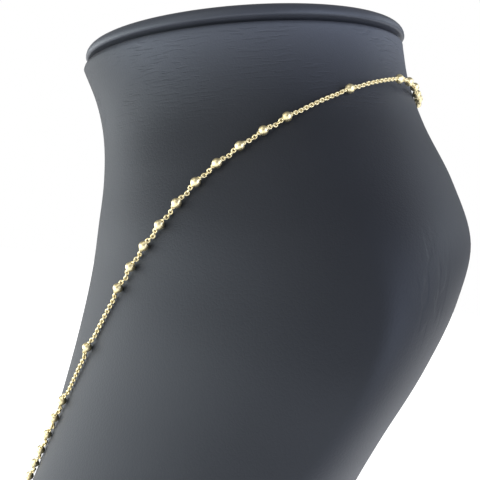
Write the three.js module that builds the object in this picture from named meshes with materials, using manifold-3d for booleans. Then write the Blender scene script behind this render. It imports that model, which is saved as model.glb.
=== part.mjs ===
// Rosary y-necklace lying on a plain neck bust.
// Millimetres, +Z up. The bust stands on Z = 0, faces -Y and has its own left side at +X.

import * as THREE from 'three';
import { mergeVertices } from 'three/addons/utils/BufferGeometryUtils.js';
import Module from 'manifold-3d';

const wasm = await Module();
wasm.setup();

// Bust: level by level, where its front, back and sides are. A section climbs by rise for each
// millimetre towards the back, and is widest at its middle.
const bustSections = [
  { height: 0, rise: 0, front: -79.5, back: 40, half: 60, middle: -18 },
  { height: 45, rise: 0, front: -75.5, back: 40, half: 62, middle: -16 },
  { height: 90, rise: 0, front: -67.5, back: 42, half: 67, middle: -11 },
  { height: 130, rise: 0, front: -54.5, back: 46.8, half: 75, middle: 3 },
  { height: 160, rise: 0, front: -46.6, back: 53.4, half: 83.5, middle: 20.5 },
  { height: 185, rise: 0, front: -42.7, back: 61.5, half: 88.5, middle: 37.5 },
  { height: 207, rise: 0.02, front: -40.3, back: 71, half: 91.5, middle: 47 },
  { height: 225, rise: 0.05, front: -39.4, back: 78, half: 88.5, middle: 48.5 },
  { height: 241, rise: 0.09, front: -39.6, back: 80.8, half: 82, middle: 41 },
  { height: 257, rise: 0.13, front: -40.2, back: 73.4, half: 70.5, middle: 29 },
  { height: 273, rise: 0.17, front: -42.8, back: 62, half: 59.5, middle: 18 },
  { height: 285, rise: 0.2, front: -47, back: 55.2, half: 55, middle: 9 },
  { height: 294.2, rise: 0.21, front: -52.4, back: 52, half: 52, middle: 0 },
];
const bustSides = 44;
const ringsPerLevel = 2;
const baseRound = 2;
const neckLip = 2.2;

// Cap: a disc with a rolled edge on a short foot, which leaves a groove above the neck.
const capRadius = 53.4;
const capRoll = 1.8;
const capFootRadius = 48.5;
const capFoot = 0.55;
const capDome = 0.8;
const capSides = 44;

const clearance = 0.3;

// Necklace
const beadRadius = 1.4;
const beadFlat = 1;
const beadBands = 4;
const beadPitch = 7.65;
const singleGap = 22;
const chainRadius = 0.75;
const chainStep = 4;
const strandSides = 10;
const halfLoopGroups = [5, 1, 10, 1, 10];
const firstBeadFromBack = 9;
const dropGroups = [1, 3, 1];
const dropGap = 14;
const dropLead = 8;

// End rings join the strands to flat eyelets on the clasp, the medal and the cross.
const ringRadius = 1;
const ringWire = 0.25;
const eyeletRadius = 1.25;
const eyeletHole = 0.65;
const eyeletThickness = 0.8;
const eyeletOverhang = 0.6;

const claspLength = 7.4;
const claspWidth = 3.2;
const medalWidth = 9;
const medalHeight = 12;
const medalLevel = 109;
const medalLoopTurn = 28;
const crossHeight = 22;
const crossWidth = 13;
const crossBar = 3.4;
const crossArmsDown = 6.8;
const plateThickness = 2;
const plateBevel = 0.35;

// How high the necklace's centre line lies above the bust, so that its beads just clear it.
const lie = beadRadius + clearance;

// Where one side of the loop runs: the turn about the bust from its back, the level, and how far
// the loop stands off the bust.
const loopStations = [
  { turn: 0, level: 279.5, off: lie },
  { turn: 8, level: 279.6, off: lie },
  { turn: 16.2, level: 279.9, off: lie },
  { turn: 25.3, level: 280.6, off: 2.8 },
  { turn: 39.6, level: 280.6, off: 3.7 },
  { turn: 65.6, level: 276.9, off: lie },
  { turn: 92.7, level: 268.8, off: lie },
  { turn: 106.3, level: 261.4, off: lie },
  { turn: 118.6, level: 252.4, off: lie },
  { turn: 129.2, level: 240.8, off: lie },
  { turn: 138, level: 227.2, off: lie },
  { turn: 147.9, level: 199.1, off: lie },
  { turn: 153.6, level: 179.9, off: lie },
  { turn: 160.6, level: 161.3, off: lie },
  { turn: 166.5, level: 149.8, off: lie },
  { turn: 172, level: 133.7, off: lie },
];

const leatherette = new THREE.MeshStandardMaterial({ color: 0x3c3f46, roughness: 0.55, metalness: 0 });
const gold = new THREE.MeshStandardMaterial({ color: 0xe0bd72, roughness: 0.25, metalness: 1 });

const sideways = new THREE.Vector3(1, 0, 0);
const necklace = new THREE.Group();

function addMesh(name, geometry, material, parent = necklace) {
  const mesh = new THREE.Mesh(geometry, material);
  mesh.name = name;
  parent.add(mesh);
  return mesh;
}

// Solids for joining and cutting

// Shared corners become one, and triangles that shrink to a line there are dropped.
function closedGeometry(geometry) {
  const bare = geometry.clone();
  bare.deleteAttribute('normal');
  bare.deleteAttribute('uv');
  const merged = mergeVertices(bare, 1e-3);
  const corners = Array.from(merged.index.array);
  const faces = Array.from({ length: corners.length / 3 }, (_, face) => corners.slice(3 * face, 3 * face + 3));
  merged.setIndex(faces.filter((face) => new Set(face).size === 3).flat());
  return merged;
}

function solidOf(geometry, place = new THREE.Matrix4()) {
  const closed = closedGeometry(geometry).applyMatrix4(place);
  return new wasm.Manifold(new wasm.Mesh({
    numProp: 3,
    vertProperties: new Float32Array(closed.attributes.position.array),
    triVerts: new Uint32Array(closed.index.array),
  }));
}

function geometryOf(solid) {
  const mesh = solid.getMesh();
  const geometry = new THREE.BufferGeometry();
  geometry.setAttribute('position', new THREE.BufferAttribute(mesh.vertProperties, 3));
  geometry.setIndex(new THREE.BufferAttribute(mesh.triVerts, 1));
  return geometry;
}

// Bust

const sectionColumns = ['rise', 'front', 'back', 'half', 'middle'];
const sectionCurve = new THREE.CubicInterpolant(
  bustSections.map((section) => section.height),
  bustSections.flatMap((section) => sectionColumns.map((column) => section[column])),
  sectionColumns.length,
);

function bustPoint(level, turn, inset = 0) {
  const [rise, front, back, half, middle] = sectionCurve.evaluate(level);
  const depth = Math.cos(turn) > 0 ? back - middle : middle - front;
  const y = middle + (depth - inset) * Math.cos(turn);
  return new THREE.Vector3((half - inset) * Math.sin(turn), y, level + rise * (y - middle));
}

function bustNormal(level, turn) {
  const step = 0.01;
  const up = bustPoint(level + step, turn).sub(bustPoint(level - step, turn));
  const round = bustPoint(level, turn + step).sub(bustPoint(level, turn - step));
  return up.cross(round).normalize();
}

function bustRing(level, inset) {
  const turns = Array.from({ length: bustSides }, (_, side) => (2 * Math.PI * side) / bustSides);
  return turns.map((turn) => bustPoint(level, turn, inset));
}

// A closed body through rings of points, with a flat fan over the first and the last ring.
function loft(rings) {
  const sides = rings[0].length;
  const points = rings.flat();
  const triangles = [];
  rings.slice(1).forEach((_, row) => {
    for (let side = 0; side < sides; side += 1) {
      const next = (side + 1) % sides;
      const [a, b] = [row * sides + side, row * sides + next];
      const [c, d] = [a + sides, b + sides];
      triangles.push(a, c, d, a, d, b);
    }
  });
  [rings[0], rings.at(-1)].forEach((ring, end) => {
    const first = end === 0 ? 0 : (rings.length - 1) * sides;
    const hub = points.length;
    points.push(ring.reduce((sum, point) => sum.add(point), new THREE.Vector3()).divideScalar(sides));
    for (let side = 0; side < sides; side += 1) {
      const pair = [first + side, first + ((side + 1) % sides)];
      triangles.push(hub, ...(end === 0 ? pair : pair.reverse()));
    }
  });
  const geometry = new THREE.BufferGeometry().setFromPoints(points);
  geometry.setIndex(triangles);
  return geometry;
}

function bustGeometry() {
  const neckLevel = bustSections.at(-1).height;
  const rings = [bustRing(0, baseRound), bustRing(baseRound, 0)];
  bustSections.slice(1).forEach((section, index) => {
    const below = Math.max(bustSections[index].height, baseRound);
    for (let part = 1; part <= ringsPerLevel; part += 1) {
      rings.push(bustRing(below + ((section.height - below) * part) / ringsPerLevel, 0));
    }
  });
  [30, 60, 90].map(THREE.MathUtils.degToRad).forEach((angle) => {
    const lipRing = bustRing(neckLevel, neckLip * (1 - Math.cos(angle)));
    rings.push(lipRing.map((point) => point.setZ(point.z + neckLip * Math.sin(angle))));
  });
  return loft(rings);
}

addMesh('bust_body', bustGeometry(), leatherette);

// Cap, tilted with the neck's top section

function capGeometry() {
  const profile = [
    new THREE.Vector2(0, 0),
    new THREE.Vector2(capFootRadius, 0),
    new THREE.Vector2(capFootRadius, capFoot),
  ];
  for (let angle = -90; angle <= 90; angle += 30) {
    const roll = THREE.MathUtils.degToRad(angle);
    const rollCentre = new THREE.Vector2(capRadius - capRoll, capFoot + capRoll);
    profile.push(rollCentre.add(new THREE.Vector2(Math.cos(roll), Math.sin(roll)).multiplyScalar(capRoll)));
  }
  profile.push(new THREE.Vector2(0, capFoot + 2 * capRoll + capDome));
  return closedGeometry(new THREE.LatheGeometry(profile, capSides).rotateX(Math.PI / 2));
}

function addCap() {
  const top = bustSections.at(-1);
  const middle = (top.front + top.back) / 2;
  const seat = new THREE.Group();
  seat.position.set(0, middle, top.height + top.rise * (middle - top.middle) + neckLip);
  seat.rotation.x = Math.atan(top.rise);
  necklace.add(seat);
  addMesh('neck_cap', capGeometry(), leatherette, seat).position.z = clearance;
}

addCap();

// Paths on the bust

function loopPoint({ turn, level, off }) {
  const angle = THREE.MathUtils.degToRad(turn);
  return bustPoint(level, angle).addScaledVector(bustNormal(level, angle), off);
}

function smoothPath(points) {
  const path = new THREE.CatmullRomCurve3(points);
  path.arcLengthDivisions = 1000;
  return path;
}

function stretchOf(path, start, end) {
  const count = Math.round((end - start) / (chainStep / 2));
  const distances = Array.from({ length: count + 1 }, (_, step) => start + ((end - start) * step) / count);
  return smoothPath(distances.map((distance) => path.getPointAt(distance / path.getLength())));
}

// Place and directions of something at a point: X along it, Y outward, Z across.
function alongMatrix(point, along, outward) {
  const across = new THREE.Vector3().crossVectors(along, outward).normalize();
  const out = new THREE.Vector3().crossVectors(across, along);
  return new THREE.Matrix4().makeBasis(along, out, across).setPosition(point);
}

// Strands

function beadDistances(first, groups, gap) {
  const distances = [];
  let distance = first;
  groups.forEach((count) => {
    for (let bead = 0; bead < count; bead += 1) distances.push(distance + bead * beadPitch);
    distance += (count - 1) * beadPitch + gap;
  });
  return distances;
}

// The half section of a straight strand: a thin chain, with a ball at each bead that is flat at its hole.
function strandProfile(length, beads) {
  const flatTurn = Math.asin(beadFlat / beadRadius);
  const beadHalf = beadRadius * Math.cos(flatTurn);
  const profile = [new THREE.Vector2(0, 0)];
  let reached = 0;
  const chainTo = (distance) => {
    const steps = Math.max(1, Math.round((distance - reached) / chainStep));
    for (let step = 0; step <= steps; step += 1) {
      profile.push(new THREE.Vector2(chainRadius, reached + ((distance - reached) * step) / steps));
    }
  };
  beads.forEach((distance) => {
    chainTo(distance - beadHalf);
    for (let band = 0; band <= beadBands; band += 1) {
      const turn = flatTurn + ((Math.PI - 2 * flatTurn) * band) / beadBands;
      profile.push(new THREE.Vector2(beadRadius * Math.sin(turn), distance - beadRadius * Math.cos(turn)));
    }
    reached = distance + beadHalf;
  });
  chainTo(length);
  profile.push(new THREE.Vector2(0, length));
  return profile;
}

// The strand is turned straight along Y, and then bent along its path.
function strandGeometry(path, beads) {
  const length = path.getLength();
  const strand = new THREE.LatheGeometry(strandProfile(length, beads), strandSides);
  const corners = strand.attributes.position;
  for (let corner = 0; corner < corners.count; corner += 1) {
    const share = THREE.MathUtils.clamp(corners.getY(corner) / length, 0, 1);
    const spot = path.getPointAt(share);
    const place = alongMatrix(spot, path.getTangentAt(share), new THREE.Vector3(spot.x, spot.y, 0));
    const bent = new THREE.Vector3(0, corners.getZ(corner), corners.getX(corner)).applyMatrix4(place);
    corners.setXYZ(corner, bent.x, bent.y, bent.z);
  }
  return strand;
}

// A ring through an eyelet, leaving it along the strand, in the plane of along and outward.
function endRing(eye, along, outward) {
  const centre = eye.clone().addScaledVector(along, ringRadius);
  const ring = new THREE.TorusGeometry(ringRadius, ringWire, 6, 12);
  return solidOf(ring, alongMatrix(centre, along, outward));
}

// Plates: the medal, the clasp and the cross

// A flat plate in its own XY plane, with an eyelet beyond its edge at each given place.
function plateWithEyelets(outline, eyelets) {
  const plate = new THREE.ExtrudeGeometry(outline, {
    depth: plateThickness - 2 * plateBevel,
    curveSegments: 12,
    bevelThickness: plateBevel,
    bevelSize: plateBevel,
    bevelOffset: -plateBevel,
    bevelSegments: 1,
  });
  plate.translate(0, 0, plateBevel - plateThickness / 2);
  const disc = (radius, height) => new THREE.CylinderGeometry(radius, radius, height, 12).rotateX(Math.PI / 2);
  const at = ({ x, y }) => new THREE.Matrix4().makeTranslation(x, y, 0);
  let body = solidOf(plate);
  eyelets.forEach((eyelet) => {
    body = body.add(solidOf(disc(eyeletRadius, eyeletThickness), at(eyelet)));
  });
  eyelets.forEach((eyelet) => {
    body = body.subtract(solidOf(disc(eyeletHole, 2 * plateThickness), at(eyelet)));
  });
  return geometryOf(body);
}

function ovalOutline(width, height) {
  const outline = new THREE.Shape();
  outline.absellipse(0, 0, width / 2, height / 2, 0, 2 * Math.PI);
  return outline;
}

function crossOutline() {
  const [arm, bar, end] = [crossWidth / 2, crossBar / 2, crossHeight / 2];
  const armsAt = end - crossArmsDown;
  const outline = new THREE.Shape();
  outline.moveTo(-bar, -end).lineTo(bar, -end).lineTo(bar, armsAt - bar);
  outline.lineTo(arm, armsAt - bar).lineTo(arm, armsAt + bar).lineTo(bar, armsAt + bar);
  outline.lineTo(bar, end).lineTo(-bar, end).lineTo(-bar, armsAt + bar);
  outline.lineTo(-arm, armsAt + bar).lineTo(-arm, armsAt - bar).lineTo(-bar, armsAt - bar);
  return outline;
}

function placeMesh(name, geometry, seat) {
  addMesh(name, geometry, gold).applyMatrix4(seat);
}

function eyeOf(seat, eyelet) {
  return new THREE.Vector3(eyelet.x, eyelet.y, 0).applyMatrix4(seat);
}

function outOf(seat) {
  return new THREE.Vector3(0, 0, 1).transformDirection(seat);
}

// The chest line, from the medal's middle down, at the necklace's height above the bust.
const chestLevels = Array.from({ length: 11 }, (_, row) => medalLevel * (1 - row / 11));
const chestLine = smoothPath(chestLevels.map((level) => loopPoint({ turn: 180, level, off: lie })));

// A seat on the chest: X sideways, Y up the chest, Z out of it.
function chestSeat(distance) {
  const share = distance / chestLine.getLength();
  const up = chestLine.getTangentAt(share).negate();
  const out = new THREE.Vector3().crossVectors(sideways, up);
  return new THREE.Matrix4().makeBasis(sideways, up, out).setPosition(chestLine.getPointAt(share));
}

// Medal, with two eyelets for the sides of the loop and one for the drop

const medalSeat = chestSeat(0);
const medalTurn = THREE.MathUtils.degToRad(medalLoopTurn);
const medalLoop = {
  x: (medalWidth / 2 + eyeletOverhang) * Math.sin(medalTurn),
  y: (medalHeight / 2 + eyeletOverhang) * Math.cos(medalTurn),
};
const dropLoop = { x: 0, y: -medalHeight / 2 - eyeletOverhang };
const medalLoops = [medalLoop, { x: -medalLoop.x, y: medalLoop.y }, dropLoop];
placeMesh('centre_medal', plateWithEyelets(ovalOutline(medalWidth, medalHeight), medalLoops), medalSeat);

// Clasp at the middle of the back: X along the loop, Z out of the neck

function backSeat() {
  const out = bustNormal(loopStations[0].level, 0);
  const across = sideways.clone().negate();
  const up = new THREE.Vector3().crossVectors(out, across);
  return new THREE.Matrix4().makeBasis(across, up, out).setPosition(loopPoint(loopStations[0]));
}

const claspSeat = backSeat();
const claspEyelet = claspLength / 2 + eyeletOverhang;
const claspEyelets = [{ x: claspEyelet, y: 0 }, { x: -claspEyelet, y: 0 }];
placeMesh('clasp', plateWithEyelets(ovalOutline(claspLength, claspWidth), claspEyelets), claspSeat);

// The left side of the loop, from its ring on the clasp to its ring on the medal, and its mirror

function leftSide() {
  const medalEye = eyeOf(medalSeat, medalLoop);
  const medalAway = new THREE.Vector3(Math.sin(medalTurn), Math.cos(medalTurn), 0).transformDirection(medalSeat);
  const ringEnds = [2, 1].map((reach) => medalEye.clone().addScaledVector(medalAway, 2 * ringRadius * reach));
  const fromBack = smoothPath([...loopStations.map(loopPoint), ...ringEnds]);
  const start = claspEyelet + 2 * ringRadius;
  const path = stretchOf(fromBack, start, fromBack.getLength());
  const claspAway = path.getTangentAt(0);
  const claspEye = path.getPointAt(0).addScaledVector(claspAway, -2 * ringRadius);
  return solidOf(strandGeometry(path, beadDistances(firstBeadFromBack - start, halfLoopGroups, singleGap)))
    .add(endRing(claspEye, claspAway, outOf(claspSeat)))
    .add(endRing(medalEye, medalAway, outOf(medalSeat)));
}

const strand = leftSide();
addMesh('strand_left', geometryOf(strand), gold);
addMesh('strand_right', geometryOf(strand.mirror([1, 0, 0])), gold);

// Drop: from the medal's lower eyelet down the chest to the cross

function addDrop() {
  const beads = beadDistances(dropLead, dropGroups, dropGap);
  const start = 2 * ringRadius - dropLoop.y;
  const end = start + beads.at(-1) + dropLead;
  const path = stretchOf(chestLine, start, end);
  const crossLoop = { x: 0, y: crossHeight / 2 + eyeletOverhang };
  const crossSeat = chestSeat(end + 2 * ringRadius + crossLoop.y);
  const drop = solidOf(strandGeometry(path, beads))
    .add(endRing(eyeOf(medalSeat, dropLoop), path.getTangentAt(0), outOf(medalSeat)))
    .add(endRing(eyeOf(crossSeat, crossLoop), path.getTangentAt(1).negate(), outOf(crossSeat)));
  addMesh('drop_strand', geometryOf(drop), gold);
  placeMesh('cross', plateWithEyelets(crossOutline(), [crossLoop]), crossSeat);
}

addDrop();

export default necklace;
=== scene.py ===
from math import asin, atan, ceil, cos, degrees, exp, pi, radians, sin

import bpy
from mathutils import Matrix, Vector
from mathutils.bvhtree import BVHTree


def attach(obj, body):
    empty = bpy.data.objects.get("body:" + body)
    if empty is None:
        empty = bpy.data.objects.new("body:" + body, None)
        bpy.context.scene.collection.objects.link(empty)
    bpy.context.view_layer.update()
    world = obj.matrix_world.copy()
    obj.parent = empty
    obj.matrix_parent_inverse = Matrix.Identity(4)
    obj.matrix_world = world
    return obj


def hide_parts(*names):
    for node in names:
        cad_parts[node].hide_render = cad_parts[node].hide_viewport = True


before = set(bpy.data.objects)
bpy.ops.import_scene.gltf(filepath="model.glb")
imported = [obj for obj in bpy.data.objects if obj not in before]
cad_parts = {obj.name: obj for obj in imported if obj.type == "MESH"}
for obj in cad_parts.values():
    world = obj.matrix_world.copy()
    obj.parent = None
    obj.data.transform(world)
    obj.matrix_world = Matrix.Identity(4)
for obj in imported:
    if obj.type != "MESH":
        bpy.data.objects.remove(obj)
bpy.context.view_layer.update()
mm = 0.001
print("frame loaded with", len(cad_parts), "nodes")


# small helpers for node trees
def addNode(tree, kind, place=(0, 0), **settings):
    node = tree.nodes.new(kind)
    node.location = place
    for name, value in settings.items():
        setattr(node, name, value)
    return node


def joinNodes(tree, *pairs):
    for source, target in pairs:
        tree.links.new(source, target)


def groupSockets(tree, direction, *sockets):
    for name, kind, value in sockets:
        socket = tree.interface.new_socket(name=name, in_out=direction, socket_type=kind)
        if value is not None:
            socket.default_value = value


def noiseNode(tree, place, detail, scale=1.0):
    noise = addNode(tree, "ShaderNodeTexNoise", place)
    noise.inputs["Scale"].default_value = scale
    noise.inputs["Detail"].default_value = detail
    return noise


# a soft step from low to high
def stepNode(tree, place, low, high):
    step = addNode(tree, "ShaderNodeMapRange", place, interpolation_type="SMOOTHSTEP")
    step.inputs["From Min"].default_value = low
    step.inputs["From Max"].default_value = high
    return step


def rangeNode(tree, place, ends):
    node = addNode(tree, "ShaderNodeMapRange", place)
    node.inputs["To Min"].default_value, node.inputs["To Max"].default_value = ends
    return node


def toneRamp(tree, dark, light, place):
    ramp = addNode(tree, "ShaderNodeValToRGB", place)
    for element, position, tone in zip(ramp.color_ramp.elements, (0.35, 0.65), (dark, light)):
        element.position = position
        element.color = (*tone, 1)
    return ramp


# a slow change of tone over a surface
def makeCloudGroup():
    tree = bpy.data.node_groups.new("toneCloud", "ShaderNodeTree")
    groupSockets(tree, "INPUT",
                 ("Place", "NodeSocketVector", None),
                 ("Scale", "NodeSocketFloat", 16.0),
                 ("Detail", "NodeSocketFloat", 4.0))
    groupSockets(tree, "OUTPUT", ("Tone", "NodeSocketFloat", None))
    start = addNode(tree, "NodeGroupInput", (-300, 0))
    end = addNode(tree, "NodeGroupOutput", (300, 0))
    cloud = addNode(tree, "ShaderNodeTexNoise")
    joinNodes(tree,
              (start.outputs["Place"], cloud.inputs["Vector"]),
              (start.outputs["Scale"], cloud.inputs["Scale"]),
              (start.outputs["Detail"], cloud.inputs["Detail"]),
              (cloud.outputs["Fac"], end.inputs["Tone"]))
    return tree


cloudGroup = makeCloudGroup()


def cloudNode(tree, place, scale, detail):
    cloud = addNode(tree, "ShaderNodeGroup", place, node_tree=cloudGroup)
    cloud.inputs["Scale"].default_value = scale
    cloud.inputs["Detail"].default_value = detail
    return cloud


grain = {
    "warpScale": 380.0,
    "warpReach": 0.0008,
    "pebbleEdge": 0.22,
    "poreScale": 2600.0,
    "poreShare": 0.35,
}


# leather grain: pebbles with fine grooves between them, and pores
def makeGrainGroup():
    tree = bpy.data.node_groups.new("leatherGrain", "ShaderNodeTree")
    groupSockets(tree, "INPUT",
                 ("Place", "NodeSocketVector", None),
                 ("Pebbles per metre", "NodeSocketFloat", 900.0),
                 ("Pebble depth", "NodeSocketFloat", 0.5))
    groupSockets(tree, "OUTPUT", ("Height", "NodeSocketFloat", None))
    start = addNode(tree, "NodeGroupInput", (-900, 0))
    end = addNode(tree, "NodeGroupOutput", (500, 0))
    warp = noiseNode(tree, (-700, -250), 2.0, grain["warpScale"])
    shift = addNode(tree, "ShaderNodeVectorMath", (-500, -150), operation="MULTIPLY_ADD")
    shift.inputs[1].default_value = [grain["warpReach"]] * 3
    cells = addNode(tree, "ShaderNodeTexVoronoi", (-300, 150), feature="DISTANCE_TO_EDGE")
    rounded = stepNode(tree, (-100, 150), 0.0, grain["pebbleEdge"])
    deep = addNode(tree, "ShaderNodeMath", (100, 150), operation="MULTIPLY")
    pores = noiseNode(tree, (-300, -150), 3.0, grain["poreScale"])
    whole = addNode(tree, "ShaderNodeMath", (300, 100), operation="MULTIPLY_ADD")
    whole.inputs[1].default_value = grain["poreShare"]
    joinNodes(tree,
              (start.outputs["Place"], warp.inputs["Vector"]),
              (warp.outputs["Color"], shift.inputs[0]),
              (start.outputs["Place"], shift.inputs[2]),
              (shift.outputs["Vector"], cells.inputs["Vector"]),
              (start.outputs["Pebbles per metre"], cells.inputs["Scale"]),
              (cells.outputs["Distance"], rounded.inputs["Value"]),
              (rounded.outputs["Result"], deep.inputs[0]),
              (start.outputs["Pebble depth"], deep.inputs[1]),
              (start.outputs["Place"], pores.inputs["Vector"]),
              (pores.outputs["Fac"], whole.inputs[0]),
              (deep.outputs["Value"], whole.inputs[2]),
              (whole.outputs["Value"], end.inputs["Height"]))
    return tree


grainGroup = makeGrainGroup()


leatherLook = {
    "dark": (0.014, 0.0152, 0.0188),
    "light": (0.0175, 0.019, 0.0235),
    # painted light: the paler tone of the upper neck, standing in for light the lamps don't give there
    "paintedLight": (0.058, 0.064, 0.078),
    "roughness": (0.53, 0.63),
    "specular": 0.24,
    "tint": (0.86, 0.94, 1.0),
    "sheen": 0.02,
    "sheenRoughness": 0.45,
    "cloudScale": 16.0,
    "cloudDetail": 4.0,
    "pebbles": 900.0,
    "pebbleDepth": 0.5,
    "grainDepth": 0.00004,
    "creaseDepth": 0.00011,
    "creaseScale": (150.0, 1250.0, 1.0),   # round the bust, and up it
    "creaseSharp": (0.51, 0.62),
    "patchScale": 38.0,
    "patchSharp": (0.42, 0.58),
    "foldDepth": 0.0002,
    "foldScale": (260.0, 120.0, 1.0),
    "foldLean": -0.35,
    "foldSharp": (0.48, 0.66),
}


def makeLeather(name, look, creased):
    material = bpy.data.materials.new(name)
    material.use_nodes = True
    tree = material.node_tree
    shader = tree.nodes["Principled BSDF"]
    shader.inputs["Specular IOR Level"].default_value = look["specular"]
    shader.inputs["Specular Tint"].default_value = (*look["tint"], 1)
    shader.inputs["Sheen Weight"].default_value = look["sheen"]
    shader.inputs["Sheen Roughness"].default_value = look["sheenRoughness"]
    place = addNode(tree, "ShaderNodeTexCoord", (-1200, 0))
    cloud = cloudNode(tree, (-900, 250), look["cloudScale"], look["cloudDetail"])
    pebbled = addNode(tree, "ShaderNodeGroup", (-900, 0), node_tree=grainGroup)
    pebbled.inputs["Pebbles per metre"].default_value = look["pebbles"]
    pebbled.inputs["Pebble depth"].default_value = look["pebbleDepth"]
    ramp = toneRamp(tree, look["dark"], look["light"], (-500, 200))
    rough = rangeNode(tree, (-500, -50), look["roughness"])
    bump = addNode(tree, "ShaderNodeBump", (-250, -250))
    bump.inputs["Distance"].default_value = look["grainDepth"]
    joinNodes(tree,
              (place.outputs["Object"], cloud.inputs["Place"]),
              (place.outputs["Object"], pebbled.inputs["Place"]),
              (cloud.outputs["Tone"], ramp.inputs["Fac"]),
              (ramp.outputs["Color"], shader.inputs["Base Color"]),
              (cloud.outputs["Tone"], rough.inputs["Value"]),
              (rough.outputs["Result"], shader.inputs["Roughness"]),
              (pebbled.outputs["Height"], bump.inputs["Height"]),
              (bump.outputs["Normal"], shader.inputs["Normal"]))
    if creased:
        creaseLeather(tree, look, place, ramp, bump, shader)
    return material


# under the neck's edge the cover has creases across it and a painted paler tone, painted light standing in for
# light on the upper neck, and where it is slack, behind the shoulders, it has faint upright folds
def creaseLeather(tree, look, place, ramp, bump, shader):
    # painted light: the leather is mixed towards a paler tone below the neck's edge
    paintedLight = addNode(tree, "ShaderNodeAttribute", (-500, 450), attribute_name="paintedLight")
    paler = addNode(tree, "ShaderNodeMix", (-200, 250), data_type="RGBA")
    factor, leatherTone, paintedLightTone, mixed = paler.inputs[0], paler.inputs[6], paler.inputs[7], paler.outputs[2]
    paintedLightTone.default_value = (*look["paintedLight"], 1)

    turns = addNode(tree, "ShaderNodeMapping", (-900, -400))
    turns.inputs["Scale"].default_value = look["creaseScale"]
    lines = noiseNode(tree, (-700, -400), 1.2)
    sharp = stepNode(tree, (-500, -400), *look["creaseSharp"])
    pull = addNode(tree, "ShaderNodeAttribute", (-700, -650), attribute_name="pull")
    patch = noiseNode(tree, (-700, -850), 1.0, look["patchScale"])
    spread = stepNode(tree, (-500, -850), *look["patchSharp"])
    near = addNode(tree, "ShaderNodeMath", (-350, -650), operation="MULTIPLY")
    creased = addNode(tree, "ShaderNodeMath", (-250, -500), operation="MULTIPLY")

    stretch = addNode(tree, "ShaderNodeMapping", (-900, -1100))
    stretch.inputs["Scale"].default_value = look["foldScale"]
    stretch.inputs["Rotation"].default_value = (0.0, 0.0, look["foldLean"])
    folds = noiseNode(tree, (-700, -1100), 0.5)
    soft = stepNode(tree, (-500, -1100), *look["foldSharp"])
    soft.inputs["To Max"].default_value = look["foldDepth"] / look["creaseDepth"]
    slack = addNode(tree, "ShaderNodeAttribute", (-500, -1350), attribute_name="slack")
    both = addNode(tree, "ShaderNodeMath", (-200, -700), operation="MULTIPLY_ADD")
    crease = addNode(tree, "ShaderNodeBump", (-100, -400), invert=True)
    crease.inputs["Distance"].default_value = look["creaseDepth"]
    joinNodes(tree,
              (paintedLight.outputs["Fac"], factor),
              (ramp.outputs["Color"], leatherTone),
              (mixed, shader.inputs["Base Color"]),
              (place.outputs["UV"], turns.inputs["Vector"]),
              (turns.outputs["Vector"], lines.inputs["Vector"]),
              (lines.outputs["Fac"], sharp.inputs["Value"]),
              (place.outputs["Object"], patch.inputs["Vector"]),
              (patch.outputs["Fac"], spread.inputs["Value"]),
              (spread.outputs["Result"], near.inputs[0]),
              (pull.outputs["Fac"], near.inputs[1]),
              (sharp.outputs["Result"], creased.inputs[0]),
              (near.outputs["Value"], creased.inputs[1]),
              (place.outputs["UV"], stretch.inputs["Vector"]),
              (stretch.outputs["Vector"], folds.inputs["Vector"]),
              (folds.outputs["Fac"], soft.inputs["Value"]),
              (soft.outputs["Result"], both.inputs[0]),
              (slack.outputs["Fac"], both.inputs[1]),
              (creased.outputs["Value"], both.inputs[2]),
              (both.outputs["Value"], crease.inputs["Height"]),
              (bump.outputs["Normal"], crease.inputs["Normal"]),
              (crease.outputs["Normal"], shader.inputs["Normal"]))


# painted light: the cap is the bust's leather in a tone over twice as pale, standing in for light on the
# rolled rim; it is a little glossier too
capPaintedLitLook = {
    **leatherLook,
    "dark": (0.037, 0.0405, 0.05),
    "light": (0.0435, 0.048, 0.0585),
    "roughness": (0.42, 0.52),
    "specular": 0.32,
}
bustLeather = makeLeather("bustLeather", leatherLook, True)
capPaintedLitLeather = makeLeather("capPaintedLitLeather", capPaintedLitLook, False)


goldLook = {
    "deep": (0.75, 0.635, 0.36),
    "pale": (0.83, 0.735, 0.455),
    "roughness": (0.36, 0.47),
    "cloudDetail": 3.0,
    "strandCloud": 900.0,
    "plateCloud": 500.0,
}


# polished gold plate, a little uneven in tone and polish
def makeGold(name, look, cloudScale):
    material = bpy.data.materials.new(name)
    material.use_nodes = True
    tree = material.node_tree
    shader = tree.nodes["Principled BSDF"]
    shader.inputs["Metallic"].default_value = 1.0
    place = addNode(tree, "ShaderNodeTexCoord", (-900, 0))
    cloud = cloudNode(tree, (-700, 0), cloudScale, look["cloudDetail"])
    ramp = toneRamp(tree, look["deep"], look["pale"], (-450, 150))
    rough = rangeNode(tree, (-450, -100), look["roughness"])
    joinNodes(tree,
              (place.outputs["Object"], cloud.inputs["Place"]),
              (cloud.outputs["Tone"], ramp.inputs["Fac"]),
              (ramp.outputs["Color"], shader.inputs["Base Color"]),
              (cloud.outputs["Tone"], rough.inputs["Value"]),
              (rough.outputs["Result"], shader.inputs["Roughness"]))
    return material


strandGold = makeGold("strandGold", goldLook, goldLook["strandCloud"])
plateGold = makeGold("plateGold", goldLook, goldLook["plateCloud"])
print("materials made")


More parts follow.
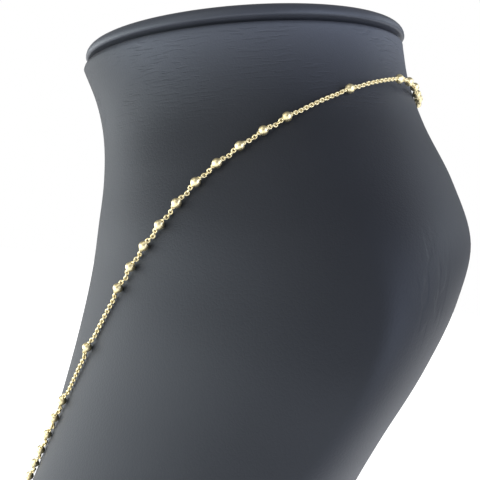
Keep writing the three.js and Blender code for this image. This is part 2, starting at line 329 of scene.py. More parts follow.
# the bust's sections, in millimetres: rise per millimetre towards the back, and where it is widest
bust = {
    "columns": ("height", "rise", "front", "back", "half", "middle"),
    "sections": [
        (0, 0, -79.5, 40, 60, -18),
        (45, 0, -75.5, 40, 62, -16),
        (90, 0, -67.5, 42, 67, -11),
        (130, 0, -54.5, 46.8, 75, 3),
        (160, 0, -46.6, 53.4, 83.5, 20.5),
        (185, 0, -42.7, 61.5, 88.5, 37.5),
        (207, 0.02, -40.3, 71, 91.5, 47),
        (225, 0.05, -39.4, 78, 88.5, 48.5),
        (241, 0.09, -39.6, 80.8, 82, 41),
        (257, 0.13, -40.2, 73.4, 70.5, 29),
        (273, 0.17, -42.8, 62, 59.5, 18),
        (285, 0.2, -47, 55.2, 55, 9),
        (294.2, 0.21, -52.4, 52, 52, 0),
    ],
    "sides": 160,
    "rowStep": 2.0,
    "baseRound": 2.0,
    "neckLip": 2.2,
    "endsIn": 6.0,             # the innermost rings of the base and the top
    "coverLength": 0.36,       # round the bust, for the creases
    # how far below the top the creases and the painted light reach, and for the painted light the turns where
    # it is gone and full, its greatest share and its fall-off
    "creaseReach": 27.0,
    "paintGoneTurn": 150.0,        # turns from the back, in degrees
    "paintFullTurn": 112.0,
    "paintedLightMost": 1.14,
    "paintedLightCurve": 2.2,
    "foldTurn": 61.0,          # small folds in the cover behind each shoulder
    "foldLevel": 229.0,
    "foldSpread": (9.0, 10.0),
}


# one smooth curve through each column: a slope at a section is the mean of those beside it
def sectionAt(level):
    rows = bust["sections"]
    last = len(rows) - 2
    at = max(0, min(last, next((i for i in range(last + 1) if level < rows[i + 1][0]), last)))
    low, high = rows[at], rows[at + 1]
    span = high[0] - low[0]
    share = (level - low[0]) / span
    values = []
    for column in range(1, len(bust["columns"])):
        own = (high[column] - low[column]) / span
        slopes = [own, own]
        for side, (a, b) in enumerate(((at - 1, at), (at + 1, at + 2))):
            if 0 <= a and b < len(rows):
                slopes[side] = (own + (rows[b][column] - rows[a][column]) / (rows[b][0] - rows[a][0])) / 2
        square, cube = share ** 2, share ** 3
        values.append((2 * cube - 3 * square + 1) * low[column]
                      + (cube - 2 * square + share) * span * slopes[0]
                      + (3 * square - 2 * cube) * high[column]
                      + (cube - square) * span * slopes[1])
    return values


def bustPoint(level, turn, inset=0.0):
    rise, front, back, half, middle = sectionAt(level)
    depth = back - middle if cos(turn) > 0 else middle - front
    y = middle + (depth - inset) * cos(turn)
    return Vector(((half - inset) * sin(turn), y, level + rise * (y - middle)))


def bustNormal(level, turn):
    step = 0.01
    up = bustPoint(level + step, turn) - bustPoint(level - step, turn)
    around = bustPoint(level, turn + step) - bustPoint(level, turn - step)
    return up.cross(around).normalized()


def finishPiece(piece, nodeName):
    bpy.context.scene.collection.objects.link(piece)
    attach(piece, "root")
    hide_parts(nodeName)


def meshPiece(name, points, faces, material):
    mesh = bpy.data.meshes.new(name)
    mesh.from_pydata([point * mm for point in points], [], faces)
    mesh.materials.append(material)
    mesh.polygons.foreach_set("use_smooth", [True] * len(mesh.polygons))
    mesh.validate()
    return bpy.data.objects.new(name, mesh)


# faces between rings of the same count, closed over the first and the last,
# for rings that run clockwise seen from the last one, or turned for the others
def ringFaces(ringCount, sides, turned=False):
    faces = []
    for row in range(ringCount - 1):
        for side in range(sides):
            a, b = row * sides + side, row * sides + (side + 1) % sides
            faces.append((a, a + sides, b + sides, b))
    faces.append(tuple(range(sides)))
    faces.append(tuple(reversed(range((ringCount - 1) * sides, ringCount * sides))))
    return [tuple(reversed(face)) for face in faces] if turned else faces


# a turn to either side of the back, in degrees
def sideTurn(turn):
    return 180 - abs(180 - degrees(turn))


# from 0 to 1, slow at both ends
def easeShare(share):
    share = max(0.0, min(1.0, share))
    return share * share * (3 - 2 * share)


# the painted light below the neck's edge is full round the back and the sides, and fades out towards the
# front, where the left lamp lights the neck
def paintedLightShare(turn):
    slack, full = bust["paintGoneTurn"], bust["paintFullTurn"]
    return bust["paintedLightMost"] * easeShare((slack - sideTurn(turn)) / (slack - full))


# the cover has small folds round one place behind each shoulder
def slackShare(level, turn):
    offTurn = (sideTurn(turn) - bust["foldTurn"]) / bust["foldSpread"][0]
    offLevel = (level - bust["foldLevel"]) / bust["foldSpread"][1]
    return exp(-offTurn ** 2 - offLevel ** 2)


def makeBust():
    top = bust["sections"][-1][0]
    foot, lip = bust["baseRound"], bust["neckLip"]
    rings = [(0.0, foot + bust["endsIn"], 0.0)]    # level, inset, lift
    for angle in (0, 30, 60, 90):
        rings.append((foot * (1 - cos(radians(angle))), foot * (1 - sin(radians(angle))), 0.0))
    count = ceil((top - foot) / bust["rowStep"])
    for row in range(1, count + 1):
        rings.append((foot + (top - foot) * row / count, 0.0, 0.0))
    for angle in (15, 30, 45, 60, 75, 90):
        rings.append((top, lip * (1 - cos(radians(angle))), lip * sin(radians(angle))))
    rings.append((top, bust["endsIn"], lip))
    sides = bust["sides"]
    points, pulls, paintedLights, slacks = [], [], [], []
    for level, inset, lift in rings:
        for side in range(sides):
            turn = 2 * pi * side / sides
            points.append(bustPoint(level, turn, inset) + Vector((0, 0, lift)))
            pulls.append(max(0.0, 1 - (top - level) / bust["creaseReach"]))
            # painted light: a paler tone, strongest at the top of the neck and fading down from it
            paintedLights.append(pulls[-1] ** bust["paintedLightCurve"] * paintedLightShare(turn))
            slacks.append(slackShare(level, turn))
    piece = meshPiece("bust", points, ringFaces(len(rings), sides), bustLeather)
    mesh = piece.data
    for label, values in (("pull", pulls), ("paintedLight", paintedLights), ("slack", slacks)):
        mesh.attributes.new(label, "FLOAT", "POINT").data.foreach_set("value", values)
    layer = mesh.uv_layers.new(name="cover")
    for polygon in mesh.polygons:
        corners = [(mesh.loops[i].vertex_index, i) for i in polygon.loop_indices]
        columns = [vertex % sides for vertex, _ in corners]
        wraps = max(columns) - min(columns) > 1 and len(corners) == 4
        for (vertex, loop), column in zip(corners, columns):
            column = column + sides if wraps and column == 0 else column
            around = column / sides * bust["coverLength"]
            layer.data[loop].uv = (around, rings[vertex // sides][0] * mm)
    finishPiece(piece, "bust_body")
    return piece


bustPiece = makeBust()
bustTree = BVHTree.FromPolygons([v.co / mm for v in bustPiece.data.vertices],
                                [tuple(p.vertices) for p in bustPiece.data.polygons])
print("bust made with", len(bustPiece.data.polygons), "faces")


cap = {
    "radius": 53.2,
    "back": 0.4,
    "rollHeight": 4.05,
    "rollLow": 0.8,            # from the roll's underside up to its widest
    "rollIn": (1.0, 3.6),      # how far it draws in below and above that
    "rollSteps": (6, 8),
    "footRadius": 48.5,
    "footIn": 3.0,
    "foot": 0.55,
    "dome": 0.35,
    "domeRings": (0.98, 0.93, 0.85, 0.7, 0.45, 0.2),
    "sides": 160,
    "gap": 0.3,
}


def makeCap():
    top = dict(zip(bust["columns"], bust["sections"][-1]))
    middle = (top["front"] + top["back"]) / 2 + cap["back"]
    level = top["height"] + top["rise"] * (middle - top["middle"]) + bust["neckLip"]
    seat = (Matrix.Translation((0, middle, level)) @ Matrix.Rotation(atan(top["rise"]), 4, "X")
            @ Matrix.Translation((0, 0, cap["gap"])))
    profile = [(cap["footRadius"] - cap["footIn"], -cap["gap"]), (cap["footRadius"], -cap["gap"]),
               (cap["footRadius"], cap["foot"])]
    below, above = cap["rollIn"]
    lowSteps, highSteps = cap["rollSteps"]
    widest = cap["foot"] + cap["rollLow"]
    for step in range(lowSteps):
        angle = radians(-90 + 90 / lowSteps * step)
        profile.append((cap["radius"] - below * (1 - cos(angle)), widest + cap["rollLow"] * sin(angle)))
    for step in range(highSteps + 1):
        angle = radians(90 / highSteps * step)
        rise = (cap["rollHeight"] - cap["rollLow"]) * sin(angle)
        profile.append((cap["radius"] - above * (1 - cos(angle)), widest + rise))
    edge, height = profile[-1]
    for share in cap["domeRings"]:
        profile.append((edge * share, height + cap["dome"] * (1 - share ** 2)))
    sides = cap["sides"]
    turns = [2 * pi * side / sides for side in range(sides)]
    points = [seat @ Vector((radius * sin(turn), radius * cos(turn), height))
              for radius, height in profile for turn in turns]
    piece = meshPiece("neckCap", points, ringFaces(len(profile), sides), capPaintedLitLeather)
    finishPiece(piece, "neck_cap")


makeCap()
print("cap made")


necklace = {
    "beadPitch": 7.65,
    "singleGap": 22.0,
    "lie": 1.7,                # the solids' centre line above the bust
    "rest": 1.43,              # the beads' own
    "sideGroups": (5, 1, 10, 1, 10),
    "firstBeadFromBack": 9.0,
    "dropGroups": (1, 3, 1),
    "dropGap": 14.0,
    "dropLead": 8.0,
    "ringRadius": 1.0,
    "ringWire": 0.25,
    "ringSides": (20, 8),
    "eyeletOverhang": 0.6,
    "stations": [              # turn from the back, level, height above the bust
        (0, 279.5, 1.7), (8, 279.6, 1.7), (16.2, 279.9, 1.7), (25.3, 280.6, 2.8), (39.6, 280.6, 3.7),
        (65.6, 276.9, 1.7), (92.7, 268.8, 1.7), (106.3, 261.4, 1.7), (118.6, 252.4, 1.7),
        (129.2, 240.8, 1.7), (138, 227.2, 1.7), (147.9, 199.1, 1.7), (153.6, 179.9, 1.7),
        (160.6, 161.3, 1.7), (166.5, 149.8, 1.7), (172, 133.7, 1.7),
    ],
}


def stationPoint(turn, level, height):
    angle = radians(turn)
    return bustPoint(level, angle) + bustNormal(level, angle) * height


# a smooth line through points, close enough together to measure along
def smoothLine(points, parts=40):
    ends = [points[0] * 2 - points[1], *points, points[-1] * 2 - points[-2]]
    line = []
    for p0, p1, p2, p3 in zip(ends, ends[1:], ends[2:], ends[3:]):
        d0, d1, d2 = ((b - a).length ** 0.5 for a, b in ((p0, p1), (p1, p2), (p2, p3)))
        t1 = ((p1 - p0) / d0 - (p2 - p0) / (d0 + d1) + (p2 - p1) / d1) * d1
        t2 = ((p2 - p1) / d1 - (p3 - p1) / (d1 + d2) + (p3 - p2) / d2) * d1
        for part in range(parts):
            u = part / parts
            line.append((2 * u ** 3 - 3 * u ** 2 + 1) * p1 + (u ** 3 - 2 * u ** 2 + u) * t1
                        + (3 * u ** 2 - 2 * u ** 3) * p2 + (u ** 3 - u ** 2) * t2)
    return [*line, points[-1]]


# lowers a line from the solids' height to where the beads rest
def restLine(line):
    lowered = []
    for point in line:
        spot, normal, _, distance = bustTree.find_nearest(point)
        height = max(necklace["rest"], distance - necklace["lie"] + necklace["rest"])
        lowered.append(spot + normal * height)
    return lowered


class Route:
    def __init__(self, line):
        self.line = line
        self.reach = [0.0]
        for a, b in zip(line, line[1:]):
            self.reach.append(self.reach[-1] + (b - a).length)
        self.length = self.reach[-1]

    def at(self, distance):
        distance = max(0.0, min(self.length, distance))
        low, high = 0, len(self.reach) - 2
        while low < high:
            half = (low + high + 1) // 2
            low, high = (half, high) if self.reach[half] <= distance else (low, half - 1)
        share = (distance - self.reach[low]) / (self.reach[low + 1] - self.reach[low])
        return self.line[low].lerp(self.line[low + 1], share)

    def along(self, distance, reach=0.2):
        return (self.at(distance + reach) - self.at(distance - reach)).normalized()

    def outward(self, distance):
        return bustTree.find_nearest(self.at(distance))[1]


eyelet = {"radius": 0.95, "wire": 0.31, "sides": 20, "wireSides": 8}


# plates are stacks of one outline, drawn in or out at each height
def platePiece(name, node, outline, profile, eyelets, seat, smooth):
    points = [Vector((x, y, height)) for inset, height in profile for x, y in outline(inset)]
    faces = ringFaces(len(profile), len(outline(0)), turned=True)
    bodyFaces = len(faces)
    sides, wireSides = eyelet["sides"], eyelet["wireSides"]
    for x, y in eyelets:
        first = len(points)
        for i in range(sides):
            turn = 2 * pi * i / sides
            for j in range(wireSides):
                roll = 2 * pi * j / wireSides
                reach = eyelet["radius"] + eyelet["wire"] * cos(roll)
                points.append(Vector((x + reach * cos(turn), y + reach * sin(turn),
                                      eyelet["wire"] * sin(roll))))
        for i in range(sides):
            for j in range(wireSides):
                a, b = (first + i * wireSides + k for k in (j, (j + 1) % wireSides))
                c, d = (first + (i + 1) % sides * wireSides + k for k in (j, (j + 1) % wireSides))
                faces.append((a, c, d, b))
    piece = meshPiece(name, [seat @ point for point in points], faces, plateGold)
    if not smooth:
        rounded = [face >= bodyFaces for face in range(len(faces))]
        piece.data.polygons.foreach_set("use_smooth", rounded)
    finishPiece(piece, node)


def ovalOutline(width, height, sides=48):
    turns = [2 * pi * side / sides for side in range(sides)]

    def drawn(inset):
        return [((width / 2 - inset) * cos(turn), (height / 2 - inset) * sin(turn)) for turn in turns]
    return drawn


# a seat with X across, Y along and Z out
def seatMatrix(across, along, out, place):
    matrix = Matrix((across, along, out)).transposed().to_4x4()
    matrix.translation = place
    return matrix


medal = {
    "width": 9.0,
    "height": 12.0,
    "level": 109.0,
    "routeAt": 0.2,
    "loopTurn": 28.0,
    "profile": [               # inset and height: the back, the edge, the rim and the low middle
        (1.2, -0.9), (0.3, -0.9), (0.08, -0.75), (0, -0.5), (0, 0.55), (0.08, 0.8), (0.3, 1.0),
        (0.6, 1.0), (0.82, 0.85), (1.0, 0.62), (1.3, 0.58), (2.0, 0.7), (3.0, 0.82), (4.0, 0.86),
    ],
}
chestRows = 11
chestRoute = Route(restLine(smoothLine([
    stationPoint(180, medal["level"] * (1 - row / chestRows), necklace["lie"]) for row in range(chestRows)])))
sideways = Vector((1, 0, 0))


def chestSeat(distance):
    up = -chestRoute.along(distance)
    up = Vector((0, up.y, up.z)).normalized()
    return seatMatrix(sideways, up, sideways.cross(up), chestRoute.at(distance))


medalSeat = chestSeat(medal["routeAt"])
medalTurn = radians(medal["loopTurn"])
medalLoop = ((medal["width"] / 2 + necklace["eyeletOverhang"]) * sin(medalTurn),
             (medal["height"] / 2 + necklace["eyeletOverhang"]) * cos(medalTurn))
dropLoop = (0.0, -medal["height"] / 2 - necklace["eyeletOverhang"])
platePiece("centreMedal", "centre_medal", ovalOutline(medal["width"], medal["height"]), medal["profile"],
           [medalLoop, (-medalLoop[0], medalLoop[1]), dropLoop], medalSeat, True)

clasp = {
    "length": 7.4,
    "width": 3.2,
    "profile": [
        (0.9, -0.95), (0.35, -0.9), (0.1, -0.7), (0, -0.4), (0, 0.4), (0.1, 0.7), (0.35, 0.9), (0.9, 1.0),
    ],
}
claspOut = bustNormal(necklace["stations"][0][1], 0)
claspSeat = seatMatrix(-sideways, claspOut.cross(-sideways), claspOut,
                       restLine([stationPoint(*necklace["stations"][0])])[0])
claspEyelet = clasp["length"] / 2 + necklace["eyeletOverhang"]
platePiece("claspPlate", "clasp", ovalOutline(clasp["length"], clasp["width"]), clasp["profile"],
           [(claspEyelet, 0), (-claspEyelet, 0)], claspSeat, True)

cross = {
    "height": 22.0,
    "width": 13.0,
    "bar": 3.4,
    "armsDown": 6.8,
    "profile": [
        (0.3, -1.0), (0, -0.7), (0, 0.45), (0.28, 0.72), (0.75, 0.72), (0.95, 0.95), (1.15, 1.0),
    ],
}


def crossOutline(inset):
    arm, bar, end = cross["width"] / 2 - inset, cross["bar"] / 2 - inset, cross["height"] / 2 - inset
    armsAt = cross["height"] / 2 - cross["armsDown"]
    low, high = armsAt - bar, armsAt + bar
    right = [(bar, -end), (bar, low), (arm, low), (arm, high), (bar, high), (bar, end)]
    return right + [(-x, y) for x, y in reversed(right)]


def beadPlaces(first, groups, gap):
    places, distance = [], first
    for count in groups:
        places += [distance + step * necklace["beadPitch"] for step in range(count)]
        distance += (count - 1) * necklace["beadPitch"] + gap
    return places


dropBeads = beadPlaces(necklace["dropLead"], necklace["dropGroups"], necklace["dropGap"])
dropStart = 2 * necklace["ringRadius"] - dropLoop[1]
dropEnd = dropStart + dropBeads[-1] + necklace["dropLead"]
crossLoop = (0.0, cross["height"] / 2 + necklace["eyeletOverhang"])
crossSeat = chestSeat(dropEnd + 2 * necklace["ringRadius"] + crossLoop[1])
platePiece("crossPlate", "cross", crossOutline, cross["profile"], [crossLoop], crossSeat, False)
print("medal, clasp and cross made")


bead = {
    "radius": 1.4,
    "hole": 0.45,
    "holeDepth": 0.5,
    "collar": 0.72,
    "collarHeight": 0.12,
    "collarRound": 0.06,
    "sides": 14,
    "bands": 7,
}
collarTurn = asin(bead["collar"] / bead["radius"])
beadEnd = bead["radius"] * cos(collarTurn) + bead["collarHeight"]


# a round bead on X with a low collar round its hole
def makeBeadShape():
    collar = [(bead["hole"], -beadEnd + bead["holeDepth"]), (bead["hole"], -beadEnd),
              (bead["collar"] - bead["collarRound"], -beadEnd),
              (bead["collar"], -beadEnd + bead["collarRound"])]
    ball = []
    for band in range(bead["bands"] + 1):
        angle = collarTurn + (pi - 2 * collarTurn) * band / bead["bands"]
        ball.append((bead["radius"] * sin(angle), -bead["radius"] * cos(angle)))
    profile = [*collar, *ball, *((radius, -x) for radius, x in reversed(collar))]
    turns = [2 * pi * side / bead["sides"] for side in range(bead["sides"])]
    points = [Vector((x, radius * cos(turn), radius * sin(turn))) for radius, x in profile for turn in turns]
    return meshPiece("beadShape", points, ringFaces(len(profile), bead["sides"], turned=True), strandGold)


beadShape = makeBeadShape()

link = {
    "length": 1.8,
    "width": 1.45,
    "wire": 0.54,
    "pitch": 0.9,
    "lean": pi / 4,
    "sway": 0.16,              # each link's own turn about the chain, to either side
    "seeds": (7, 11),
    "sides": 12,
    "wireSides": 6,
    "rest": 0.76,              # above the bust, away from the beads
    "freeFrom": 1.5,           # where it starts to come down beside a bead, and over what length
    "freeOver": 2.4,
    "heldAbove": 0.6,          # a route this much higher than the beads' rest keeps its height
    "guideStep": 0.4,
    "intoBead": 0.25,
}


pointKinds = {"chain": 0, "bead": 1, "ring": 2}


# links along every edge run of the guide, beads and end rings at its marked points
def makeChainTree():
    tree = bpy.data.node_groups.new("beadedChain", "GeometryNodeTree")
    groupSockets(tree, "INPUT",
                 ("Guide", "NodeSocketGeometry", None),
                 ("Link pitch", "NodeSocketFloat", link["pitch"] * mm),
                 ("Link length", "NodeSocketFloat", link["length"] * mm),
                 ("Link width", "NodeSocketFloat", link["width"] * mm),
                 ("Link wire", "NodeSocketFloat", link["wire"] * mm),
                 ("Ring radius", "NodeSocketFloat", necklace["ringRadius"] * mm),
                 ("Ring wire", "NodeSocketFloat", necklace["ringWire"] * mm),
                 ("Bead", "NodeSocketObject", None),
                 ("Gold", "NodeSocketMaterial", None),
                 ("Seed", "NodeSocketInt", link["seeds"][0]))
    groupSockets(tree, "OUTPUT", ("Strand", "NodeSocketGeometry", None))
    start = addNode(tree, "NodeGroupInput", (-1400, 0))
    end = addNode(tree, "NodeGroupOutput", (1200, 0))

    # one wire loop, in its own XY plane
    def wireLoop(place, radius, wire, sides, wireSides):
        ring = addNode(tree, "GeometryNodeCurvePrimitiveCircle", place)
        ring.inputs["Resolution"].default_value = sides
        section = addNode(tree, "GeometryNodeCurvePrimitiveCircle", (place[0], place[1] - 150))
        section.inputs["Resolution"].default_value = wireSides
        solid = addNode(tree, "GeometryNodeCurveToMesh", (place[0] + 250, place[1]))
        joinNodes(tree,
                  (radius, ring.inputs["Radius"]),
                  (wire, section.inputs["Radius"]),
                  (ring.outputs["Curve"], solid.inputs["Curve"]),
                  (section.outputs["Curve"], solid.inputs["Profile Curve"]))
        return solid.outputs["Mesh"]

    def mathNode(operation, place, *values):
        node = addNode(tree, "ShaderNodeMath", place, operation=operation)
        for socket, value in zip(node.inputs, values):
            if isinstance(value, (int, float)):
                socket.default_value = value
            else:
                tree.links.new(value, socket)
        return node.outputs["Value"]

    def readMark(label, kind, place):
        node = addNode(tree, "GeometryNodeInputNamedAttribute", place, data_type=kind)
        node.inputs["Name"].default_value = label
        return node.outputs["Attribute"]

    # X along the chain, Z out of the bust, then a roll about X
    def strandTurn(place, roll):
        x, y = place
        along = readMark("along", "FLOAT_VECTOR", (x, y))
        outward = readMark("outward", "FLOAT_VECTOR", (x, y - 150))
        first = addNode(tree, "FunctionNodeAlignRotationToVector", (x + 200, y), axis="X")
        second = addNode(tree, "FunctionNodeAlignRotationToVector", (x + 400, y), axis="Z", pivot_axis="X")
        joinNodes(tree,
                  (along, first.inputs["Vector"]),
                  (first.outputs["Rotation"], second.inputs["Rotation"]),
                  (outward, second.inputs["Vector"]))
        if roll is None:
            return second.outputs["Rotation"]
        spin = addNode(tree, "FunctionNodeAxisAngleToRotation", (x + 400, y - 200))
        spin.inputs["Axis"].default_value = (1, 0, 0)
        turned = addNode(tree, "FunctionNodeRotateRotation", (x + 600, y), rotation_space="LOCAL")
        joinNodes(tree,
                  (roll, spin.inputs["Angle"]),
                  (second.outputs["Rotation"], turned.inputs["Rotation"]),
                  (spin.outputs["Rotation"], turned.inputs["Rotate By"]))
        return turned.outputs["Rotation"]

    meanLength = mathNode("SUBTRACT", (-1150, 450), start.outputs["Link length"], start.outputs["Link wire"])
    linkLoop = wireLoop((-900, 500), mathNode("MULTIPLY", (-1050, 500), meanLength, 0.5),
                        mathNode("MULTIPLY", (-1050, 350), start.outputs["Link wire"], 0.5),
                        link["sides"], link["wireSides"])
    squeeze = addNode(tree, "GeometryNodeTransform", (-400, 500))
    squeezeBy = addNode(tree, "ShaderNodeCombineXYZ", (-600, 350))
    squeezeBy.inputs["X"].default_value = squeezeBy.inputs["Z"].default_value = 1.0
    narrow = mathNode("DIVIDE", (-800, 300), start.outputs["Link width"], start.outputs["Link length"])
    joinNodes(tree,
              (linkLoop, squeeze.inputs["Geometry"]),
              (narrow, squeezeBy.inputs["Y"]),
              (squeezeBy.outputs["Vector"], squeeze.inputs["Scale"]))

    runs = addNode(tree, "GeometryNodeMeshToCurve", (-900, 0))
    spaced = addNode(tree, "GeometryNodeResampleCurve", (-650, 0), mode="LENGTH")
    linkPlaces = addNode(tree, "GeometryNodeCurveToPoints", (-400, 0), mode="EVALUATED")
    index = addNode(tree, "GeometryNodeInputIndex", (-900, -250))
    odd = mathNode("MODULO", (-700, -250), index.outputs["Index"], 2)
    crossed = mathNode("MULTIPLY", (-500, -250), odd, pi / 2)
    sway = addNode(tree, "FunctionNodeRandomValue", (-700, -400), data_type="FLOAT")
    sway.inputs["Min"].default_value = -link["sway"]
    sway.inputs["Max"].default_value = link["sway"]
    leaning = mathNode("ADD", (-400, -250), crossed, link["lean"])
    roll = mathNode("ADD", (-300, -250), leaning, sway.outputs["Value"])
    links = addNode(tree, "GeometryNodeInstanceOnPoints", (300, 100))
    joinNodes(tree,
              (start.outputs["Guide"], runs.inputs["Mesh"]),
              (runs.outputs["Curve"], spaced.inputs["Curve"]),
              (start.outputs["Link pitch"], spaced.inputs["Length"]),
              (start.outputs["Seed"], sway.inputs["Seed"]),
              (spaced.outputs["Curve"], linkPlaces.inputs["Curve"]),
              (linkPlaces.outputs["Points"], links.inputs["Points"]),
              (squeeze.outputs["Geometry"], links.inputs["Instance"]),
              (strandTurn((-500, -600), roll), links.inputs["Rotation"]))

    # one shape at every point of a kind
    def markedPoints(place, kind, shape, rollAngle):
        x, y = place
        same = addNode(tree, "FunctionNodeCompare", (x + 200, y), data_type="INT", operation="EQUAL")
        found, wanted = (next(socket for socket in same.inputs if socket.name == name and socket.type == "INT")
                         for name in ("A", "B"))
        wanted.default_value = kind
        roll = None
        if rollAngle:
            roll = addNode(tree, "ShaderNodeValue", (x, y - 400)).outputs[0]
            roll.default_value = rollAngle
        instances = addNode(tree, "GeometryNodeInstanceOnPoints", (x + 900, y))
        joinNodes(tree,
                  (readMark("kind", "INT", place), found),
                  (start.outputs["Guide"], instances.inputs["Points"]),
                  (same.outputs["Result"], instances.inputs["Selection"]),
                  (shape, instances.inputs["Instance"]),
                  (strandTurn((x, y - 150), roll), instances.inputs["Rotation"]))
        return instances.outputs["Instances"]

    beadInfo = addNode(tree, "GeometryNodeObjectInfo", (-900, -900))
    joinNodes(tree, (start.outputs["Bead"], beadInfo.inputs["Object"]))
    beads = markedPoints((-500, -1000), pointKinds["bead"], beadInfo.outputs["Geometry"], 0)
    ringLoop = wireLoop((-900, -1500), start.outputs["Ring radius"], start.outputs["Ring wire"],
                        *necklace["ringSides"])
    rings = markedPoints((-500, -1500), pointKinds["ring"], ringLoop, pi / 2)

    together = addNode(tree, "GeometryNodeJoinGeometry", (600, 0))
    real = addNode(tree, "GeometryNodeRealizeInstances", (750, 0))
    shaded = addNode(tree, "GeometryNodeSetShadeSmooth", (900, 0))
    coated = addNode(tree, "GeometryNodeSetMaterial", (1050, 0))
    joinNodes(tree,
              (links.outputs["Instances"], together.inputs["Geometry"]),
              (beads, together.inputs["Geometry"]),
              (rings, together.inputs["Geometry"]),
              (together.outputs["Geometry"], real.inputs["Geometry"]),
              (real.outputs["Geometry"], shaded.inputs["Geometry"]),
              (shaded.outputs["Geometry"], coated.inputs["Geometry"]),
              (start.outputs["Gold"], coated.inputs["Material"]),
              (coated.outputs["Geometry"], end.inputs["Strand"]))
    return tree


chainTree = makeChainTree()


# the guide is a run of edges for each stretch of chain, and a loose marked point for each bead and ring
def makeStrand(name, node, route, startAt, endAt, beads, rings, mirrored):
    points, edges, alongs, outwards, kinds = [], [], [], [], []

    def addPoint(point, along, outward, kind):
        points.append(point * mm)
        alongs.append(along)
        outwards.append(outward)
        kinds.append(pointKinds[kind])

    # away from its beads and ends the chain comes down to lie on the bust, where the route does
    fixed = [startAt, *beads, endAt]

    def chainPoint(distance):
        point, out = route.at(distance), route.outward(distance)
        height = bustTree.find_nearest(point)[3]
        free = min(abs(distance - place) for place in fixed) - link["freeFrom"]
        lies = min(1.0, max(0.0, 1 - (height - necklace["rest"]) / link["heldAbove"]))
        return point - out * (height - link["rest"]) * easeShare(free / link["freeOver"]) * lies

    beadHalf = beadEnd - link["intoBead"]
    reach = link["guideStep"] / 2
    breaks = [startAt, *(d for place in beads for d in (place - beadHalf, place + beadHalf)), endAt]
    for low, high in zip(breaks[::2], breaks[1::2]):
        count = max(2, round((high - low) / link["guideStep"]))
        for step in range(count + 1):
            distance = low + (high - low) * step / count
            if step:
                edges.append((len(points) - 1, len(points)))
            before, after = chainPoint(max(low, distance - reach)), chainPoint(min(high, distance + reach))
            addPoint(chainPoint(distance), (after - before).normalized(), route.outward(distance), "chain")
    for place in beads:
        addPoint(route.at(place), route.along(place), route.outward(place), "bead")
    for eye, along, outward in rings:
        addPoint(eye + along * necklace["ringRadius"], along, outward, "ring")
    if mirrored:
        points, alongs, outwards = ([Vector((-v.x, v.y, v.z)) for v in row]
                                    for row in (points, alongs, outwards))

    guide = bpy.data.meshes.new(name + "Guide")
    guide.from_pydata(points, edges, [])
    for label, values in (("along", alongs), ("outward", outwards)):
        mark = guide.attributes.new(label, "FLOAT_VECTOR", "POINT")
        mark.data.foreach_set("vector", [part for value in values for part in value])
    guide.attributes.new("kind", "INT", "POINT").data.foreach_set("value", kinds)
    holder = bpy.data.objects.new(name + "Guide", guide)
    bpy.context.scene.collection.objects.link(holder)
    modifier = holder.modifiers.new("chain", "NODES")
    modifier.node_group = chainTree
    sockets = {item.name: item.identifier for item in chainTree.interface.items_tree
               if item.in_out == "INPUT"}
    modifier[sockets["Bead"]] = beadShape
    modifier[sockets["Gold"]] = strandGold
    modifier[sockets["Seed"]] = link["seeds"][mirrored]
    evaluated = holder.evaluated_get(bpy.context.evaluated_depsgraph_get())
    mesh = bpy.data.meshes.new_from_object(evaluated)
    mesh.name = name
    bpy.data.objects.remove(holder)
    piece = bpy.data.objects.new(name, mesh)
    finishPiece(piece, node)
    print(name, "made with", len(mesh.polygons), "faces")


ringReach = 2 * necklace["ringRadius"]
medalEye = medalSeat @ Vector((*medalLoop, 0))
medalAway = (medalSeat.to_3x3() @ Vector((sin(medalTurn), cos(medalTurn), 0))).normalized()
sideLine = smoothLine([*(stationPoint(*station) for station in necklace["stations"]),
                       medalEye + medalAway * 2 * ringReach, medalEye + medalAway * ringReach])
sideRoute = Route(restLine(sideLine))
sideStart = claspEyelet + ringReach
claspAway = sideRoute.along(sideStart)
claspEye = sideRoute.at(sideStart) - claspAway * ringReach
medalOut = medalSeat.to_3x3() @ Vector((0, 0, 1))
sideRings = [(claspEye, claspAway, claspOut), (medalEye, medalAway, medalOut)]
sideBeads = beadPlaces(necklace["firstBeadFromBack"], necklace["sideGroups"], necklace["singleGap"])
sideRun = (sideRoute, sideStart, sideRoute.length, sideBeads, sideRings)
makeStrand("strandLeft", "strand_left", *sideRun, False)
makeStrand("strandRight", "strand_right", *sideRun, True)

dropEye = medalSeat @ Vector((*dropLoop, 0))
crossEye = crossSeat @ Vector((*crossLoop, 0))
dropRings = [(dropEye, chestRoute.along(dropStart), chestRoute.outward(dropStart)),
             (crossEye, -chestRoute.along(dropEnd), chestRoute.outward(dropEnd))]
makeStrand("dropStrand", "drop_strand", chestRoute, dropStart, dropEnd,
           [dropStart + place for place in dropBeads], dropRings, False)
bpy.data.objects.remove(beadShape)


studio = {
    "floorHalf": 4.0,
    "floorTone": (0.85, 0.85, 0.85),
    "floorRoughness": 0.9,
    "floorGlow": 0.95,         # what the floor gives back to the bust
    "floorSeen": (0.55, 1.0),  # and to the eye, near the bust and far away
    "floorFade": (0.25, 1.1),
    "backdrop": 1.0,
    "ambient": 0.3,
    "aim": (0.0, 0.0, 0.2),
    "lights": [  # name, turn from the front, lift, distance, width, height, power, colour
        ("leftBox", 0, 2, 1.0, 1.9, 0.5, 11.0, (0.93, 0.98, 1.0)),
        ("lowCard", 20, -20, 0.52, 0.6, 0.4, 1.6, (0.93, 0.98, 1.0)),
        ("rightBox", 150, 17, 1.0, 0.7, 0.9, 8.6, (0.745, 0.795, 1.0)),
        ("highBox", 210, 28, 1.0, 0.6, 0.5, 1.9, (0.85, 0.92, 1.0)),
        ("glintBox", 45, 38, 1.0, 0.7, 0.7, 2.2, (1.0, 0.98, 0.94)),
    ],
}


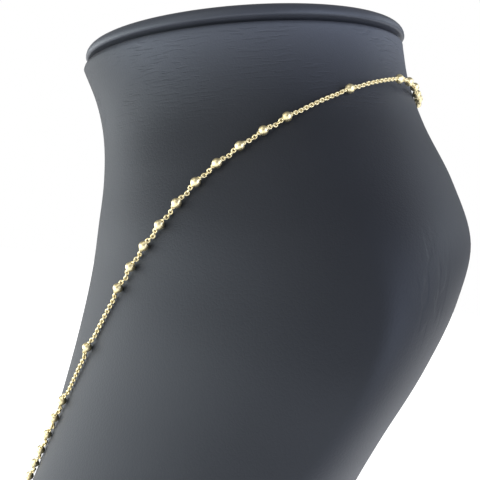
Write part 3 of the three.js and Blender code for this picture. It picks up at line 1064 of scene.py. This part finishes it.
def makeFloor():
    mesh = bpy.data.meshes.new("floor")
    half = studio["floorHalf"]
    corners = [(-half, -half, 0), (half, -half, 0), (half, half, 0), (-half, half, 0)]
    mesh.from_pydata(corners, [], [(0, 1, 2, 3)])
    floor = bpy.data.objects.new("floor", mesh)
    bpy.context.scene.collection.objects.link(floor)
    material = bpy.data.materials.new("floorPaper")
    material.use_nodes = True
    tree = material.node_tree
    shader = tree.nodes["Principled BSDF"]
    shader.inputs["Base Color"].default_value = (*studio["floorTone"], 1)
    shader.inputs["Roughness"].default_value = studio["floorRoughness"]
    shader.inputs["Emission Color"].default_value = (1, 1, 1, 1)
    place = addNode(tree, "ShaderNodeTexCoord", (-900, 0))
    reach = addNode(tree, "ShaderNodeVectorMath", (-700, 0), operation="LENGTH")
    fade = stepNode(tree, (-500, 0), *studio["floorFade"])
    fade.inputs["To Min"].default_value, fade.inputs["To Max"].default_value = studio["floorSeen"]
    eye = addNode(tree, "ShaderNodeLightPath", (-500, 300))
    glow = addNode(tree, "ShaderNodeMix", (-250, 0), data_type="FLOAT")
    glow.inputs["A"].default_value = studio["floorGlow"]
    joinNodes(tree,
              (place.outputs["Object"], reach.inputs[0]),
              (reach.outputs["Value"], fade.inputs["Value"]),
              (eye.outputs["Is Camera Ray"], glow.inputs["Factor"]),
              (fade.outputs["Result"], glow.inputs["B"]),
              (glow.outputs["Result"], shader.inputs["Emission Strength"]))
    mesh.materials.append(material)


def makeWorld():
    world = bpy.data.worlds.new("studioLight")
    bpy.context.scene.world = world
    world.use_nodes = True
    tree = world.node_tree
    tree.nodes.clear()
    seen = addNode(tree, "ShaderNodeLightPath", (-600, 200))
    around = addNode(tree, "ShaderNodeBackground", (-300, 0))
    around.inputs["Strength"].default_value = studio["ambient"]
    behind = addNode(tree, "ShaderNodeBackground", (-300, -150))
    behind.inputs["Strength"].default_value = studio["backdrop"]
    for background in (around, behind):
        background.inputs["Color"].default_value = (1, 1, 1, 1)
    mixed = addNode(tree, "ShaderNodeMixShader", (0, 0))
    output = addNode(tree, "ShaderNodeOutputWorld", (200, 0))
    joinNodes(tree,
              (seen.outputs["Is Camera Ray"], mixed.inputs[0]),
              (around.outputs[0], mixed.inputs[1]),
              (behind.outputs[0], mixed.inputs[2]),
              (mixed.outputs[0], output.inputs["Surface"]))


def makeLights():
    aim = Vector(studio["aim"])
    for name, turn, lift, distance, width, height, power, colour in studio["lights"]:
        light = bpy.data.lights.new(name, "AREA")
        light.shape = "RECTANGLE"
        light.size, light.size_y = width, height
        light.energy = power
        light.color = colour
        lamp = bpy.data.objects.new(name, light)
        turn, lift = radians(turn), radians(lift)
        away = Vector((sin(turn) * cos(lift), -cos(turn) * cos(lift), sin(lift)))
        lamp.location = aim + away * distance
        lamp.rotation_mode = "QUATERNION"
        lamp.rotation_quaternion = (-away).to_track_quat("-Z", "Y")
        bpy.context.scene.collection.objects.link(lamp)


camera = {
    "place": (0.31224, 0.02862, 0.23804),
    "forward": (-0.9976, -0.0691, -0.0097),
    "up": (0, -0.1392, 0.9903),
    "lens": 69.375,
    "sensor": 36.0,
    "clip": (0.01, 50.0),
}


def makeCamera():
    data = bpy.data.cameras.new("camera")
    data.lens = camera["lens"]
    data.sensor_width = camera["sensor"]
    data.clip_start, data.clip_end = camera["clip"]
    eye = bpy.data.objects.new("camera", data)
    forward = Vector(camera["forward"]).normalized()
    right = forward.cross(Vector(camera["up"])).normalized()
    up = right.cross(forward)
    eye.matrix_world = seatMatrix(right, up, -forward, Vector(camera["place"]))
    bpy.context.scene.collection.objects.link(eye)
    bpy.context.scene.camera = eye


makeFloor()
makeWorld()
makeLights()
makeCamera()
bpy.context.scene.view_settings.view_transform = "Standard"
print("studio and camera made")
